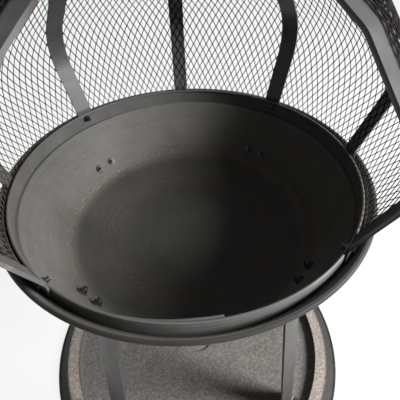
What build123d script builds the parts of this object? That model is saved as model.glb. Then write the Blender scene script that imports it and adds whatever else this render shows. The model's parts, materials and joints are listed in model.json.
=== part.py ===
from build123d import *
from math import atan2, cos, degrees, hypot, radians, sin, tan
import os

# Fire pit with a globe-shaped spark screen: a bowl on four legs over a base
# tray, and a lift-off screen of bent straps and expanded metal with a door.
# Millimetres, +Z up, origin on the floor under the middle, front toward -Y.

# ---- driving dimensions -------------------------------------------------
COLLAR_R = 260.0          # outer face of the screen's rolled collar
COLLAR_TOP = 575.0        # top edge of the collar above the floor
COLLAR_H = 27.0
COLLAR_T = 2.0
HEM = 1.6                 # rolled hem round the collar's top edge

BOWL_T = 2.0
RIM_R = COLLAR_R + 14.0   # centre circle of the rolled rim
RIM_BEAD = 4.0
RIM_DROP = 9.0            # rim centre below the collar top
LEDGE_W = 7.0             # ledge that carries the collar
LEDGE_R = COLLAR_R - LEDGE_W
WALL_R = LEDGE_R - 50.0   # where the wall turns into the floor
WALL_DROP = 125.0
FLOOR_R = WALL_R - 83.0
FLOOR_DROP = 147.0

BOLT_R = 3.0              # M6 hardware throughout
BOLT_CLEAR = 0.5
HEAD_R = 5.2
HEAD_H = 3.0
NUT_R = 5.7
NUT_H = 4.5
TIP = 4.5                 # thread standing out of a nut
WASHER_R = 8.0
WASHER_T = 1.4
SEAT_GAP = 0.2            # washer lifted off the curved wall

LEG_T = 4.0
LEG_W = 50.0
LEG_BOLT_DROP = 96.0      # middle of the bolt pair below the collar top
LEG_BOLT_HALF = 15.5
FOOT_R = WALL_R + 59.0
FOOT_END = FOOT_R + 32.0
FOOT_BOLT_R = FOOT_R + 19.0

TRAY_T = 2.0
TRAY_FLOOR = 6.0
TRAY_STEP_R = FOOT_END + 6.0
TRAY_BAND_R = TRAY_STEP_R + 28.0
TRAY_BAND_Z = 22.0
TRAY_EDGE_R = TRAY_BAND_R + 22.0
TRAY_BEAD = 3.0
DIMPLE_R = 40.0           # pressed foot in the middle of the tray

STRAP_W = 40.0            # straps beside the doorway
BACK_W = 30.0             # inner straps at the back
OUTER_W = 26.0            # straps over the mesh
STRAP_T = 2.5
MESH_T = 1.2
STRIP_W = 9.0             # worn strip along each side of the door opening
STRIP_T = 2.0
MESH_EDGE = 8.0           # mesh stops this far from a strap's middle line
BEND_LOW = 13.0
BEND_BELLY = 80.0
BEND_SHOULDER = 40.0

# Strap line, (radius, height above the collar top), up the outer faces:
# corners of the straights, each rounded by its own bend
BELLY = (COLLAR_R + 44.0, 120.5)
SHOULDER = (COLLAR_R - 48.0, 238.2)
CROWN_R = COLLAR_R - 100.0
CROWN_Z = 275.0
CROWN_TOP = 297.0
STRAP_LINE = [(COLLAR_R, -17.0), (COLLAR_R, 6.0), BELLY, SHOULDER,
              (CROWN_R, CROWN_Z), (CROWN_R, CROWN_TOP)]
WIDEST = COLLAR_R + 33.1  # belly of the strap line

HOOP_T = 2.5
HOOP_FLANGE = 22.0
CAP_R = CROWN_R + 12.0
CAP_T = 2.0
CAP_SKIRT = 12.0
CAP_RISE = 20.0
CAP_BOLT_R = CROWN_R - 11.0
BAIL_R = 3.0
BAIL_HALF = 45.0
BAIL_UP = 48.0
BAIL_CLEAR = 0.1
LUG_H = 13.0
LUG_T = 4.0

DOOR_GAP = 1.5            # door frame stands this far off the jambs
DOOR_EDGE = 1.0           # door's side edge from the jamb's middle line
STILE_W = 30.0
RAIL_W = 20.0
DOOR_LOW = 10.0
DOOR_HIGH_R = CROWN_R + 13.0
DOOR_REST = 115.0         # degrees the door stands open
HINGE_R = WIDEST + 19.6   # hinge line from the centre of the screen
HINGE_OFF = 13.0          # hinge line beyond the jamb's middle line
HINGE_Z = (66.0, 148.0)
EAR_R = 8.0
EAR_T = 4.0
EAR_GAP = 0.4
PIN_R = 3.0
PIN_CLEAR = 0.08
LATCH_Z = 165.0
LATCH_OFF = 9.0
LATCH_IN = WIDEST - 8.4
LATCH_T = 3.0
LATCH_LEN = 32.0
LATCH_W = 12.0
HANDLE_R = 4.0
HANDLE_OUT = WIDEST + 37.0
HANDLE_Z = (62.0, 128.0)
CELL_TURN = 11.25          # degrees between columns of openings in a panel
CELL_W = 0.145            # opening's width as a share of its radius
CELL_H = 78.0
CELL_CUT = 14.0           # depth that passes through the sheet's bulge
CELL_ROWS = 6

LEG_ANGLES = (45.0, 135.0, 225.0, 315.0)
BACK_STRAPS = (44.0, 132.5)
OUTER_STRAPS = (0.0, 87.0, 180.0)
LEFT_JAMB = 225.0
RIGHT_JAMB = 315.0
INNER_STRAPS = (*BACK_STRAPS, LEFT_JAMB, RIGHT_JAMB)

os.makedirs("parts", exist_ok=True)


# ---- frames ---------------------------------------------------------------
def turned(point, pivot, angle):
    a = radians(angle)
    x, y = point[0] - pivot[0], point[1] - pivot[1]
    return (pivot[0] + x * cos(a) - y * sin(a), pivot[1] + x * sin(a) + y * cos(a))


def beside(angle, out, side):
    """Plan point at a distance out along a radius and a distance to its left."""
    a = radians(angle)
    return (out * cos(a) - side * sin(a), out * sin(a) + side * cos(a))


HINGE = beside(LEFT_JAMB, HINGE_R, -HINGE_OFF)
SCREEN = ((0.0, 0.0), 0.0)
DOOR = (turned((0.0, 0.0), HINGE, -DOOR_REST), -DOOR_REST)


def radial(angle, frame=SCREEN, z=COLLAR_TOP):
    """Upright plane through the centre line, x outward at the angle, y up."""
    (cx, cy), turn = frame
    a = radians(angle + turn)
    return Plane(origin=(cx, cy, z), x_dir=(cos(a), sin(a), 0), z_dir=(sin(a), -cos(a), 0))


def level(z, angle=0.0, frame=SCREEN):
    """Flat plane at height z over the collar top, x outward at the angle."""
    (cx, cy), turn = frame
    a = radians(angle + turn)
    return Plane(origin=(cx, cy, COLLAR_TOP + z), x_dir=(cos(a), sin(a), 0), z_dir=(0, 0, 1))


def middle(frame=SCREEN):
    return Axis((frame[0][0], frame[0][1], 0), (0, 0, 1))


def facing(angle, out, side, z, lean=0.0, frame=SCREEN):
    """Plane whose normal points outward at the angle, tipped up by lean."""
    (cx, cy), turn = frame
    x, y = beside(angle + turn, out, side)
    a = radians(angle + turn)
    b = radians(lean)
    return Plane(origin=(cx + x, cy + y, COLLAR_TOP + z), x_dir=(-sin(a), cos(a), 0),
                 z_dir=(cos(a) * cos(b), sin(a) * cos(b), sin(b)))


# ---- strap line -----------------------------------------------------------
def bent(points, shift):
    """Line of straights and round bends, moved outward by shift."""
    pieces = []
    last = None
    for i in range(len(points) - 1):
        (ax, az), (bx, bz) = points[i], points[i + 1]
        run = hypot(bx - ax, bz - az)
        ux, uz = (bx - ax) / run, (bz - az) / run
        nx, nz = uz, -ux
        start = (ax + nx * shift, az + nz * shift) if last is None else last
        if i + 2 == len(points):
            pieces.append((start, (bx + nx * shift, bz + nz * shift)))
            break
        cx2, cz2 = points[i + 2]
        run2 = hypot(cx2 - bx, cz2 - bz)
        vx, vz = (cx2 - bx) / run2, (cz2 - bz) / run2
        mx, mz = vz, -vx
        bend = {BELLY: BEND_BELLY, SHOULDER: BEND_SHOULDER}.get(points[i + 1], BEND_LOW)
        turn = atan2(ux * vz - uz * vx, ux * vx + uz * vz)
        cut = bend * tan(abs(turn) / 2)
        side = -1 if turn > 0 else 1
        cx, cz = bx - ux * cut + side * nx * bend, bz - uz * cut + side * nz * bend
        reach = bend - side * shift
        hx, hz = (nx + mx) / hypot(nx + mx, nz + mz), (nz + mz) / hypot(nx + mx, nz + mz)
        a = (cx - side * nx * reach, cz - side * nz * reach)
        m = (cx - side * hx * reach, cz - side * hz * reach)
        b = (cx - side * mx * reach, cz - side * mz * reach)
        pieces.append((start, a))
        pieces.append((a, m, b))
        last = b
    return pieces


def cut_line(points, low=None, high_r=None):
    """Strap line trimmed to start at a height and stop at a radius."""
    out = list(points)
    if low is not None:
        (ax, az), (bx, bz) = COLLAR_START, BELLY
        out = [(ax + (bx - ax) * (low - az) / (bz - az), low)] + out[2:]
    if high_r is not None:
        (ax, az), (bx, bz) = SHOULDER, (CROWN_R, CROWN_Z)
        out = out[:-2] + [(high_r, az + (bz - az) * (high_r - ax) / (bx - ax))]
    return out


COLLAR_START = STRAP_LINE[1]
DOOR_LINE = cut_line(STRAP_LINE, DOOR_LOW, DOOR_HIGH_R)


def draw_line(pieces):
    for piece in pieces:
        if len(piece) == 2:
            Line(piece[0], piece[1])
        else:
            ThreePointArc(piece[0], piece[1], piece[2])


def shell(points, inside, outside, start, arc, frame=SCREEN):
    """Sheet following the strap line, spun through an arc."""
    near = bent(points, inside)
    far = bent(points, outside)
    with BuildSketch(radial(start, frame)) as outline:
        with BuildLine():
            draw_line(near)
            draw_line(far)
            Line(near[0][0], far[0][0])
            Line(near[-1][-1], far[-1][-1])
        make_face()
    revolve(outline.sketch, axis=middle(frame), revolution_arc=arc)


def keep_strip(angle, side0, side1, frame=SCREEN):
    """Keep what lies between two distances beside a radius."""
    with BuildSketch(level(-COLLAR_TOP, angle, frame)) as outline:
        with Locations((200, (side0 + side1) / 2)):
            Rectangle(400, side1 - side0)
    extrude(outline.sketch, amount=1000, mode=Mode.INTERSECT)


def clear_inside(shift, angle, arc, frame=SCREEN):
    """Cut away everything inside the strap line moved out by shift."""
    pieces = bent(STRAP_LINE, shift)
    with BuildSketch(radial(angle - arc / 2, frame)) as outline:
        with BuildLine():
            draw_line(pieces)
            Polyline(pieces[-1][-1], (CROWN_R / 2, CROWN_TOP), (CROWN_R / 2, -17), pieces[0][0])
        make_face()
    revolve(outline.sketch, axis=middle(frame), revolution_arc=arc, mode=Mode.SUBTRACT)


def hardware(places, low, high, radius, mode=Mode.ADD):
    """Round stock along the normal of each place."""
    for place in places:
        with BuildSketch(place.offset(low)) as outline:
            Circle(radius)
        extrude(outline.sketch, amount=high - low, mode=mode)


def hexagons(places, low, high, radius):
    for place in places:
        with BuildSketch(place.offset(low)) as outline:
            RegularPolygon(radius, 6)
        extrude(outline.sketch, amount=high - low)



def beside_plane(angle, side, frame=SCREEN):
    """Radial plane moved sideways, x outward and y up."""
    (cx, cy), turn = frame
    a = radians(angle + turn)
    x, y = beside(angle + turn, 0, side)
    return Plane(origin=(cx + x, cy + y, COLLAR_TOP), x_dir=(cos(a), sin(a), 0),
                 z_dir=(sin(a), -cos(a), 0))


def below(points, drop):
    """Underside of a sheet whose top runs from its rim to the middle."""
    sides = []
    for (ax, az), (bx, bz) in zip(points[:-1], points[1:]):
        run = hypot(bx - ax, bz - az)
        nx, nz = -(bz - az) / run, (bx - ax) / run
        sides.append(((ax + nx * drop, az + nz * drop), (bx - ax, bz - az)))
    moved = [sides[0][0]]
    for (p, u), (q, v) in zip(sides[:-1], sides[1:]):
        t = ((q[0] - p[0]) * v[1] - (q[1] - p[1]) * v[0]) / (u[0] * v[1] - u[1] * v[0])
        moved.append((p[0] + u[0] * t, p[1] + u[1] * t))
    moved.append((0, sides[-1][0][1]))
    return moved


def dished(line, thick):
    """Sheet spun from its top line."""
    with BuildSketch(radial(0)) as outline:
        with BuildLine():
            Polyline(*line, *reversed(below(line, thick)), close=True)
        make_face()
    revolve(outline.sketch, axis=Axis.Z, revolution_arc=360)


def bead(r, z, radius, sides=0):
    """Rolled edge round the object, round or folded in flats."""
    with BuildSketch(radial(0)) as outline:
        with Locations((r, z)):
            if sides:
                RegularPolygon(radius, sides, major_radius=False, rotation=90)
            else:
                Circle(radius)
    revolve(outline.sketch, axis=Axis.Z, revolution_arc=360)


# ---- base tray --------------------------------------------------------------
def tray_z(z):
    return z - COLLAR_TOP


TRAY_LINE = [(TRAY_EDGE_R - 1.0, tray_z(5.0)), (TRAY_BAND_R, tray_z(TRAY_BAND_Z)),
             (TRAY_STEP_R + 1.0, tray_z(TRAY_BAND_Z)), (TRAY_STEP_R - 2.0, tray_z(TRAY_FLOOR)),
             (DIMPLE_R, tray_z(TRAY_FLOOR)), (DIMPLE_R - 6.0, tray_z(TRAY_T)),
             (0, tray_z(TRAY_T))]
FOOT_PLACES = [Plane(origin=(*beside(angle, FOOT_BOLT_R, side), TRAY_FLOOR), z_dir=(0, 0, 1))
               for angle in LEG_ANGLES for side in (-LEG_BOLT_HALF, LEG_BOLT_HALF)]

with BuildPart() as base_tray:
    dished(TRAY_LINE, TRAY_T)
    bead(TRAY_EDGE_R, tray_z(TRAY_BEAD), TRAY_BEAD, 6)
    hardware(FOOT_PLACES, -4, 2, BOLT_R + BOLT_CLEAR, Mode.SUBTRACT)

# ---- bowl -------------------------------------------------------------------
BOWL_LINE = [(RIM_R - RIM_BEAD + 0.6, -RIM_DROP), (LEDGE_R + LEDGE_W, -COLLAR_H),
             (LEDGE_R, -COLLAR_H), (WALL_R, -WALL_DROP), (FLOOR_R, -FLOOR_DROP),
             (0, -FLOOR_DROP - 1.0)]
WALL_SLOPE = degrees(atan2(LEDGE_R - WALL_R, WALL_DROP - COLLAR_H))
BOLT_OUT = LEDGE_R - (LEDGE_R - WALL_R) * (LEG_BOLT_DROP - COLLAR_H) / (WALL_DROP - COLLAR_H)
LEG_TURN = degrees(LEG_BOLT_HALF / BOLT_OUT)
WALL_PLACES = [facing(angle + turn, BOLT_OUT, 0, -LEG_BOLT_DROP, -WALL_SLOPE)
               for angle in LEG_ANGLES for turn in (-LEG_TURN, LEG_TURN)]

with BuildPart() as bowl:
    dished(BOWL_LINE, BOWL_T)
    bead(RIM_R, -RIM_DROP, RIM_BEAD)
    hardware(WALL_PLACES, -4, 4, BOLT_R + BOLT_CLEAR, Mode.SUBTRACT)

# ---- legs -------------------------------------------------------------------
WALL_UNDER = below(BOWL_LINE, BOWL_T)[2:4]


def under_wall(z):
    (ax, az), (bx, bz) = WALL_UNDER
    return (ax + (bx - ax) * (z - az) / (bz - az), z)


LEG_LINE = [under_wall(-60.0), under_wall(-127.0), (FOOT_R, tray_z(TRAY_FLOOR)),
            (FOOT_END, tray_z(TRAY_FLOOR))]


def leg(angle, turned_bolts):
    with BuildPart() as bar:
        shell(LEG_LINE, 0.0, -LEG_T, angle - 9, 18)
        keep_strip(angle, -LEG_W / 2, LEG_W / 2)
        hardware(turned_bolts, -2, 10, BOLT_R + BOLT_CLEAR, Mode.SUBTRACT)
        hardware(FOOT_PLACES, -2, 8, BOLT_R + BOLT_CLEAR, Mode.SUBTRACT)
    return bar


leg_back_right = leg(45.0, WALL_PLACES[0:2])
leg_back_left = leg(135.0, WALL_PLACES[2:4])
leg_front_left = leg(225.0, WALL_PLACES[4:6])
leg_front_right = leg(315.0, WALL_PLACES[6:8])

with BuildPart() as leg_bolts:
    hardware(WALL_PLACES, -SEAT_GAP - WASHER_T - NUT_H - TIP, BOWL_T + LEG_T, BOLT_R)
    hardware(WALL_PLACES, BOWL_T + LEG_T, BOWL_T + LEG_T + HEAD_H, HEAD_R)

with BuildPart() as leg_washers:
    hardware(WALL_PLACES, -SEAT_GAP - WASHER_T, -SEAT_GAP, WASHER_R)
    hardware(WALL_PLACES, -4, 2, BOLT_R + BOLT_CLEAR, Mode.SUBTRACT)

with BuildPart() as leg_nuts:
    hexagons(WALL_PLACES, -SEAT_GAP - WASHER_T - NUT_H, -SEAT_GAP - WASHER_T, NUT_R)
    hardware(WALL_PLACES, -12, 2, BOLT_R, Mode.SUBTRACT)

with BuildPart() as foot_bolts:
    hardware(FOOT_PLACES, -TRAY_T, LEG_T + NUT_H + TIP, BOLT_R)
    hardware(FOOT_PLACES, -TRAY_T - HEAD_H, -TRAY_T, HEAD_R)

with BuildPart() as foot_nuts:
    hexagons(FOOT_PLACES, LEG_T, LEG_T + NUT_H, NUT_R)
    hardware(FOOT_PLACES, 0, 14, BOLT_R, Mode.SUBTRACT)

# ---- screen: collar, hoop and straps ------------------------------------------
COLLAR_PLACES = [facing(angle, COLLAR_R, 0, -RIM_DROP) for angle in INNER_STRAPS]
HOOP_MID = CROWN_TOP - 9.0
HOOP_PLACES = [facing(angle, CROWN_R, 0, HOOP_MID) for angle in INNER_STRAPS]
FAR_PLACES = [facing(angle, CROWN_R, 0, HOOP_MID) for angle in OUTER_STRAPS]
CAP_PLACES = [Plane(origin=(*beside(angle, CAP_BOLT_R, 0), COLLAR_TOP + CROWN_TOP),
                    z_dir=(0, 0, 1)) for angle in (22.5, 112.5, 202.5, 292.5)]
SKIN = STRAP_T + MESH_T

with BuildPart() as collar:
    with BuildSketch(radial(0)):
        with Locations((COLLAR_R - COLLAR_T / 2, -COLLAR_H / 2)):
            Rectangle(COLLAR_T, COLLAR_H)
        with Locations((COLLAR_R - HEM, -HEM)):
            RegularPolygon(HEM, 8, major_radius=False)
    revolve(axis=Axis.Z, revolution_arc=360)
    with BuildSketch(radial(274)):
        with Locations((COLLAR_R - COLLAR_T * 1.5, -COLLAR_H / 2 - HEM)):
            Rectangle(COLLAR_T, COLLAR_H - 2 * HEM)
    revolve(axis=Axis.Z, revolution_arc=5)
    hardware(COLLAR_PLACES, -6, 2, BOLT_R + BOLT_CLEAR, Mode.SUBTRACT)

with BuildPart() as top_hoop:
    with BuildSketch(radial(0)):
        with Locations((CROWN_R - HOOP_T / 2, (CROWN_Z + CROWN_TOP) / 2)):
            Rectangle(HOOP_T, CROWN_TOP - CROWN_Z)
        with Locations((CROWN_R - HOOP_FLANGE / 2, CROWN_TOP - HOOP_T / 2)):
            Rectangle(HOOP_FLANGE, HOOP_T)
    revolve(axis=Axis.Z, revolution_arc=360)
    hardware(HOOP_PLACES + FAR_PLACES, -6, 2, BOLT_R + BOLT_CLEAR, Mode.SUBTRACT)
    hardware(CAP_PLACES, -6, 2, BOLT_R + BOLT_CLEAR, Mode.SUBTRACT)


def inner_strap(angle, width):
    with BuildPart() as strap:
        shell(STRAP_LINE, 0.0, STRAP_T, angle - 10, 20)
        keep_strip(angle, -width / 2, width / 2)
        places = [facing(angle, COLLAR_R, 0, -RIM_DROP), facing(angle, CROWN_R, 0, HOOP_MID)]
        hardware(places, -2, 6, BOLT_R + BOLT_CLEAR, Mode.SUBTRACT)
    return strap


def outer_strap(angle):
    with BuildPart() as strap:
        shell([(COLLAR_R, -4.0)] + STRAP_LINE[1:], SKIN, SKIN + STRAP_T, angle - 10, 20)
        keep_strip(angle, -OUTER_W / 2, OUTER_W / 2)
        hardware([facing(angle, CROWN_R, 0, HOOP_MID)], 0, 10, BOLT_R + BOLT_CLEAR, Mode.SUBTRACT)
    return strap


strap_back_right = inner_strap(BACK_STRAPS[0], BACK_W)
strap_back_left = inner_strap(BACK_STRAPS[1], BACK_W)
jamb_left = inner_strap(LEFT_JAMB, STRAP_W)
jamb_right = inner_strap(RIGHT_JAMB, STRAP_W)
strap_right = outer_strap(OUTER_STRAPS[0])
strap_back = outer_strap(OUTER_STRAPS[1])
strap_left = outer_strap(OUTER_STRAPS[2])
STRIP_LINE = cut_line(STRAP_LINE, DOOR_LOW, DOOR_HIGH_R)


def jamb_strip(angle, side0, side1):
    with BuildPart() as strip:
        shell(STRIP_LINE, -STRIP_T, 0.0, angle - 10, 20)
        keep_strip(angle, side0, side1)
    return strip


strip_left = jamb_strip(LEFT_JAMB, STRAP_W / 2 - STRIP_W, STRAP_W / 2)
strip_right = jamb_strip(RIGHT_JAMB, -STRAP_W / 2, STRIP_W - STRAP_W / 2)


# ---- screen: expanded metal panels ----------------------------------------------
def cut_side(angle, side, keep_left, frame=SCREEN):
    """Cut away what lies on one side of a line beside a radius."""
    with BuildSketch(level(-COLLAR_TOP, angle, frame)) as outline:
        with Locations((200, side - 200 if keep_left else side + 200)):
            Rectangle(400, 400)
    extrude(outline.sketch, amount=1000, mode=Mode.SUBTRACT)


def diamonds(line, shift, start, span, rows, frame=SCREEN):
    """Cut staggered rows of tall diamonds square to a sheet on the strap line."""
    with BuildLine() as run:
        draw_line(bent(line, shift))
    count = round(span / CELL_TURN)
    step = span / count
    for row in range(rows):
        at = (row + 1.0) / (rows + 1.0)
        spot, way = run.line @ at, run.line % at
        lean = degrees(atan2(-way.X, way.Y))
        shift_turn = step / 2 if row % 2 else 0.0
        places = [facing(start + step * (k + 1) - shift_turn, spot.X, 0, spot.Y, lean, frame)
                  for k in range(count - 1 + row % 2)]
        with BuildSketch(*places[(1 if row % 2 else 0):len(places) - row % 2]) as cells:
            w = CELL_W * spot.X
            Polygon((-w / 2, 0), (0, -CELL_H / 2), (w / 2, 0), (0, CELL_H / 2))
        extrude(cells.sketch, amount=CELL_CUT, both=True, mode=Mode.SUBTRACT)


def panel(start, end, bolt_angle):
    with BuildPart() as sheet:
        line = [(COLLAR_R, -13.0)] + STRAP_LINE[1:]
        shell(line, STRAP_T, SKIN, start, end - start)
        diamonds(line, STRAP_T, start, end - start, CELL_ROWS)
        cut_side(start, MESH_EDGE, True)
        cut_side(end, -MESH_EDGE, False)
        hardware([facing(bolt_angle, CROWN_R, 0, HOOP_MID)], 0, 8, BOLT_R + BOLT_CLEAR,
                 Mode.SUBTRACT)
    return sheet


mesh_right = panel(RIGHT_JAMB - 360, BACK_STRAPS[0], OUTER_STRAPS[0])
mesh_back = panel(*BACK_STRAPS, OUTER_STRAPS[1])
mesh_left = panel(BACK_STRAPS[1], LEFT_JAMB, OUTER_STRAPS[2])

# ---- screen: bolts ---------------------------------------------------------------
with BuildPart() as collar_bolts:
    hardware(COLLAR_PLACES, -COLLAR_T - 0.1 - NUT_H - TIP, STRAP_T, BOLT_R)
    hardware(COLLAR_PLACES, STRAP_T, STRAP_T + HEAD_H, HEAD_R)

with BuildPart() as collar_nuts:
    hexagons(COLLAR_PLACES, -COLLAR_T - 0.1 - NUT_H, -COLLAR_T - 0.1, NUT_R)
    hardware(COLLAR_PLACES, -12, 2, BOLT_R, Mode.SUBTRACT)

with BuildPart() as hoop_bolts:
    hardware(HOOP_PLACES, -HOOP_T - 0.2 - NUT_H - 2, STRAP_T, BOLT_R)
    hardware(HOOP_PLACES, STRAP_T, STRAP_T + HEAD_H, HEAD_R)
    hardware(FAR_PLACES, -HOOP_T - 0.2 - NUT_H - 2, SKIN + STRAP_T, BOLT_R)
    hardware(FAR_PLACES, SKIN + STRAP_T, SKIN + STRAP_T + HEAD_H, HEAD_R)

with BuildPart() as hoop_nuts:
    hexagons(HOOP_PLACES + FAR_PLACES, -HOOP_T - 0.2 - NUT_H, -HOOP_T - 0.2, NUT_R)
    hardware(HOOP_PLACES + FAR_PLACES, -12, 2, BOLT_R, Mode.SUBTRACT)

with BuildPart() as hoop_spacers:
    hardware(FAR_PLACES, 0, STRAP_T - SEAT_GAP - 0.05, WASHER_R)
    hardware(FAR_PLACES, -2, 4, BOLT_R + BOLT_CLEAR, Mode.SUBTRACT)

# ---- cap and bail -------------------------------------------------------------------
CAP_TOP = CROWN_TOP + CAP_T
DOME_EDGE = 126.0
DOME_R = (DOME_EDGE ** 2 + CAP_RISE ** 2) / (2 * CAP_RISE)


def dome(r, radius):
    return CAP_TOP + CAP_RISE - DOME_R + (radius ** 2 - r ** 2) ** 0.5


UNDER_R = DOME_R - CAP_T
UNDER_EDGE = (UNDER_R ** 2 - (CROWN_TOP - CAP_TOP - CAP_RISE + DOME_R) ** 2) ** 0.5
BAIL_Z = CAP_TOP + CAP_RISE + 2.0

with BuildPart() as cap:
    with BuildSketch(radial(0)):
        with BuildLine():
            ThreePointArc((0, dome(0, DOME_R)), (60, dome(60, DOME_R)), (DOME_EDGE, CAP_TOP))
            Polyline((DOME_EDGE, CAP_TOP), (CAP_R, CAP_TOP), (CAP_R, CAP_TOP - CAP_SKIRT),
                     (CAP_R - CAP_T, CAP_TOP - CAP_SKIRT), (CAP_R - CAP_T, CROWN_TOP),
                     (UNDER_EDGE, CROWN_TOP))
            ThreePointArc((UNDER_EDGE, CROWN_TOP), (60, dome(60, UNDER_R)), (0, dome(0, UNDER_R)))
            Line((0, dome(0, UNDER_R)), (0, dome(0, DOME_R)))
        make_face()
    revolve(axis=Axis.Z, revolution_arc=360)
    hardware(CAP_PLACES, -2, 4, BOLT_R + BOLT_CLEAR, Mode.SUBTRACT)

with BuildPart() as cap_bolts:
    hardware(CAP_PLACES, -HOOP_T - NUT_H - 2, CAP_T, BOLT_R)
    hardware(CAP_PLACES, CAP_T, CAP_T + HEAD_H, HEAD_R)

with BuildPart() as cap_nuts:
    hexagons(CAP_PLACES, -HOOP_T - NUT_H, -HOOP_T, NUT_R)
    hardware(CAP_PLACES, -12, 0, BOLT_R, Mode.SUBTRACT)

with BuildPart() as cap_lugs:
    for x in (-BAIL_HALF, BAIL_HALF):
        with BuildSketch(Plane(origin=(x - LUG_T / 2, 0, COLLAR_TOP + BAIL_Z), x_dir=(0, 1, 0),
                               z_dir=(1, 0, 0))):
            Circle(7)
            with Locations((0, -6)):
                Rectangle(14, 12)
            Circle(BAIL_R + PIN_CLEAR, mode=Mode.SUBTRACT)
        extrude(amount=LUG_T)
    with BuildSketch(radial(0)):
        with BuildLine():
            ThreePointArc((0, dome(0, DOME_R)), (60, dome(60, DOME_R)), (DOME_EDGE, CAP_TOP))
            Polyline((DOME_EDGE, CAP_TOP), (0, CAP_TOP), (0, dome(0, DOME_R)))
        make_face()
    revolve(axis=Axis.Z, revolution_arc=360, mode=Mode.SUBTRACT)

with BuildPart() as bail:
    with BuildLine(Plane(origin=(0, 0, COLLAR_TOP + BAIL_Z), z_dir=(0, 0, 1))) as wire:
        FilletPolyline((-39, 0), (-53, 0), (-53, BAIL_UP), (53, BAIL_UP), (53, 0), (39, 0),
                       radius=5)
    with BuildSketch(Plane(origin=(-39, 0, COLLAR_TOP + BAIL_Z), z_dir=(-1, 0, 0))):
        Circle(BAIL_R)
    sweep()

# ---- door ---------------------------------------------------------------------------
DOOR_IN = STRAP_T + DOOR_GAP
DOOR_OUT = DOOR_IN + STRAP_T
DOOR_SKIN = DOOR_OUT + MESH_T


def along(points, low, high):
    """Straight piece of a straight line between two heights."""
    (ax, az), (bx, bz) = points
    return [(ax + (bx - ax) * (z - az) / (bz - az), z) for z in (low, high)]


TOP_Z = DOOR_LINE[-1][1]
RAIL_RISE = RAIL_W * (CROWN_Z - SHOULDER[1]) / hypot(SHOULDER[0] - CROWN_R, CROWN_Z - SHOULDER[1])
LOW_RAIL = along((STRAP_LINE[1], BELLY), DOOR_LOW, DOOR_LOW + RAIL_W)
HIGH_RAIL = along((SHOULDER, (CROWN_R, CROWN_Z)), TOP_Z - RAIL_RISE, TOP_Z)


def door_stile(angle, side0, side1):
    with BuildPart() as stile:
        shell(DOOR_LINE, DOOR_IN, DOOR_OUT, angle - 14, 28, DOOR)
        keep_strip(angle, side0, side1, DOOR)
    return stile


def door_sheet(line, inside, outside, edge):
    with BuildPart() as sheet:
        shell(line, inside, outside, LEFT_JAMB, 90, DOOR)
        if line is DOOR_LINE:
            diamonds(line, inside, LEFT_JAMB, 90, CELL_ROWS - 1, DOOR)
        cut_side(LEFT_JAMB, edge, True, DOOR)
        cut_side(RIGHT_JAMB, -edge, False, DOOR)
    return sheet


door_stile_left = door_stile(LEFT_JAMB, DOOR_EDGE, DOOR_EDGE + STILE_W)
door_stile_right = door_stile(RIGHT_JAMB, -DOOR_EDGE - STILE_W, -DOOR_EDGE)
door_rail_low = door_sheet(LOW_RAIL, DOOR_IN, DOOR_OUT, DOOR_EDGE + STILE_W)
door_rail_high = door_sheet(HIGH_RAIL, DOOR_IN, DOOR_OUT, DOOR_EDGE + STILE_W)
door_mesh = door_sheet(DOOR_LINE, DOOR_OUT, DOOR_SKIN, DOOR_EDGE + STILE_W - 8.0)

with BuildPart() as door_strap:
    shell(DOOR_LINE, DOOR_SKIN, DOOR_SKIN + STRAP_T, 260, 20, DOOR)
    keep_strip(270, -STRAP_W / 2, STRAP_W / 2, DOOR)

# ---- hinges --------------------------------------------------------------------------
EAR_MID = 8.0             # thickness of the door's ear between the jamb's two


def ear(z, thick, boxes, hole, frame):
    """Flat hinge ear: round eye on the hinge line and arms to the frame."""
    with BuildSketch(level(z, LEFT_JAMB, frame)) as outline:
        with Locations((HINGE_R, -HINGE_OFF)):
            Circle(EAR_R)
        for out0, out1, side0, side1 in boxes:
            with Locations(((out0 + out1) / 2, (side0 + side1) / 2)):
                Rectangle(out1 - out0, side1 - side0)
        with Locations((HINGE_R, -HINGE_OFF)):
            Circle(hole, mode=Mode.SUBTRACT)
    extrude(outline.sketch, amount=thick)


with BuildPart() as jamb_ears:
    for z in HINGE_Z:
        for low in (z - EAR_MID / 2 - EAR_GAP - EAR_T, z + EAR_MID / 2 + EAR_GAP):
            ear(low, EAR_T, [(COLLAR_R, HINGE_R, -7.5, -0.5)], PIN_R, SCREEN)
    clear_inside(STRAP_T, LEFT_JAMB, 30)

with BuildPart() as door_ears:
    for z in HINGE_Z:
        ear(z - EAR_MID / 2, EAR_MID, [(HINGE_R - 6, HINGE_R + 6, -HINGE_OFF, 13),
                                       (COLLAR_R, HINGE_R + 6, 2, 13)], PIN_R + PIN_CLEAR, DOOR)
    clear_inside(DOOR_OUT, LEFT_JAMB, 30, DOOR)

PIN_PLACES = [Plane(origin=(*HINGE, COLLAR_TOP + z), z_dir=(0, 0, 1)) for z in HINGE_Z]
EAR_END = EAR_MID / 2 + EAR_GAP + EAR_T
with BuildPart() as hinge_pins:
    hardware(PIN_PLACES, -EAR_END - 4, EAR_END, PIN_R)
    hardware(PIN_PLACES, EAR_END, EAR_END + 2.5, PIN_R + 1.8)

# ---- latch, keeper and handle ------------------------------------------------------------
LATCH_PLACE = facing(RIGHT_JAMB, 0, -LATCH_OFF, LATCH_Z, 0, DOOR)

with BuildPart() as latch_stud:
    hardware([LATCH_PLACE], COLLAR_R - 20, LATCH_IN - 0.3, 5.0)
    hardware([LATCH_PLACE], LATCH_IN - 0.3, LATCH_IN + LATCH_T + 0.3, 2.5)
    hardware([LATCH_PLACE], LATCH_IN + LATCH_T + 0.3, LATCH_IN + LATCH_T + 2.8, 5.0)
    clear_inside(DOOR_OUT, RIGHT_JAMB, 30, DOOR)

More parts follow.
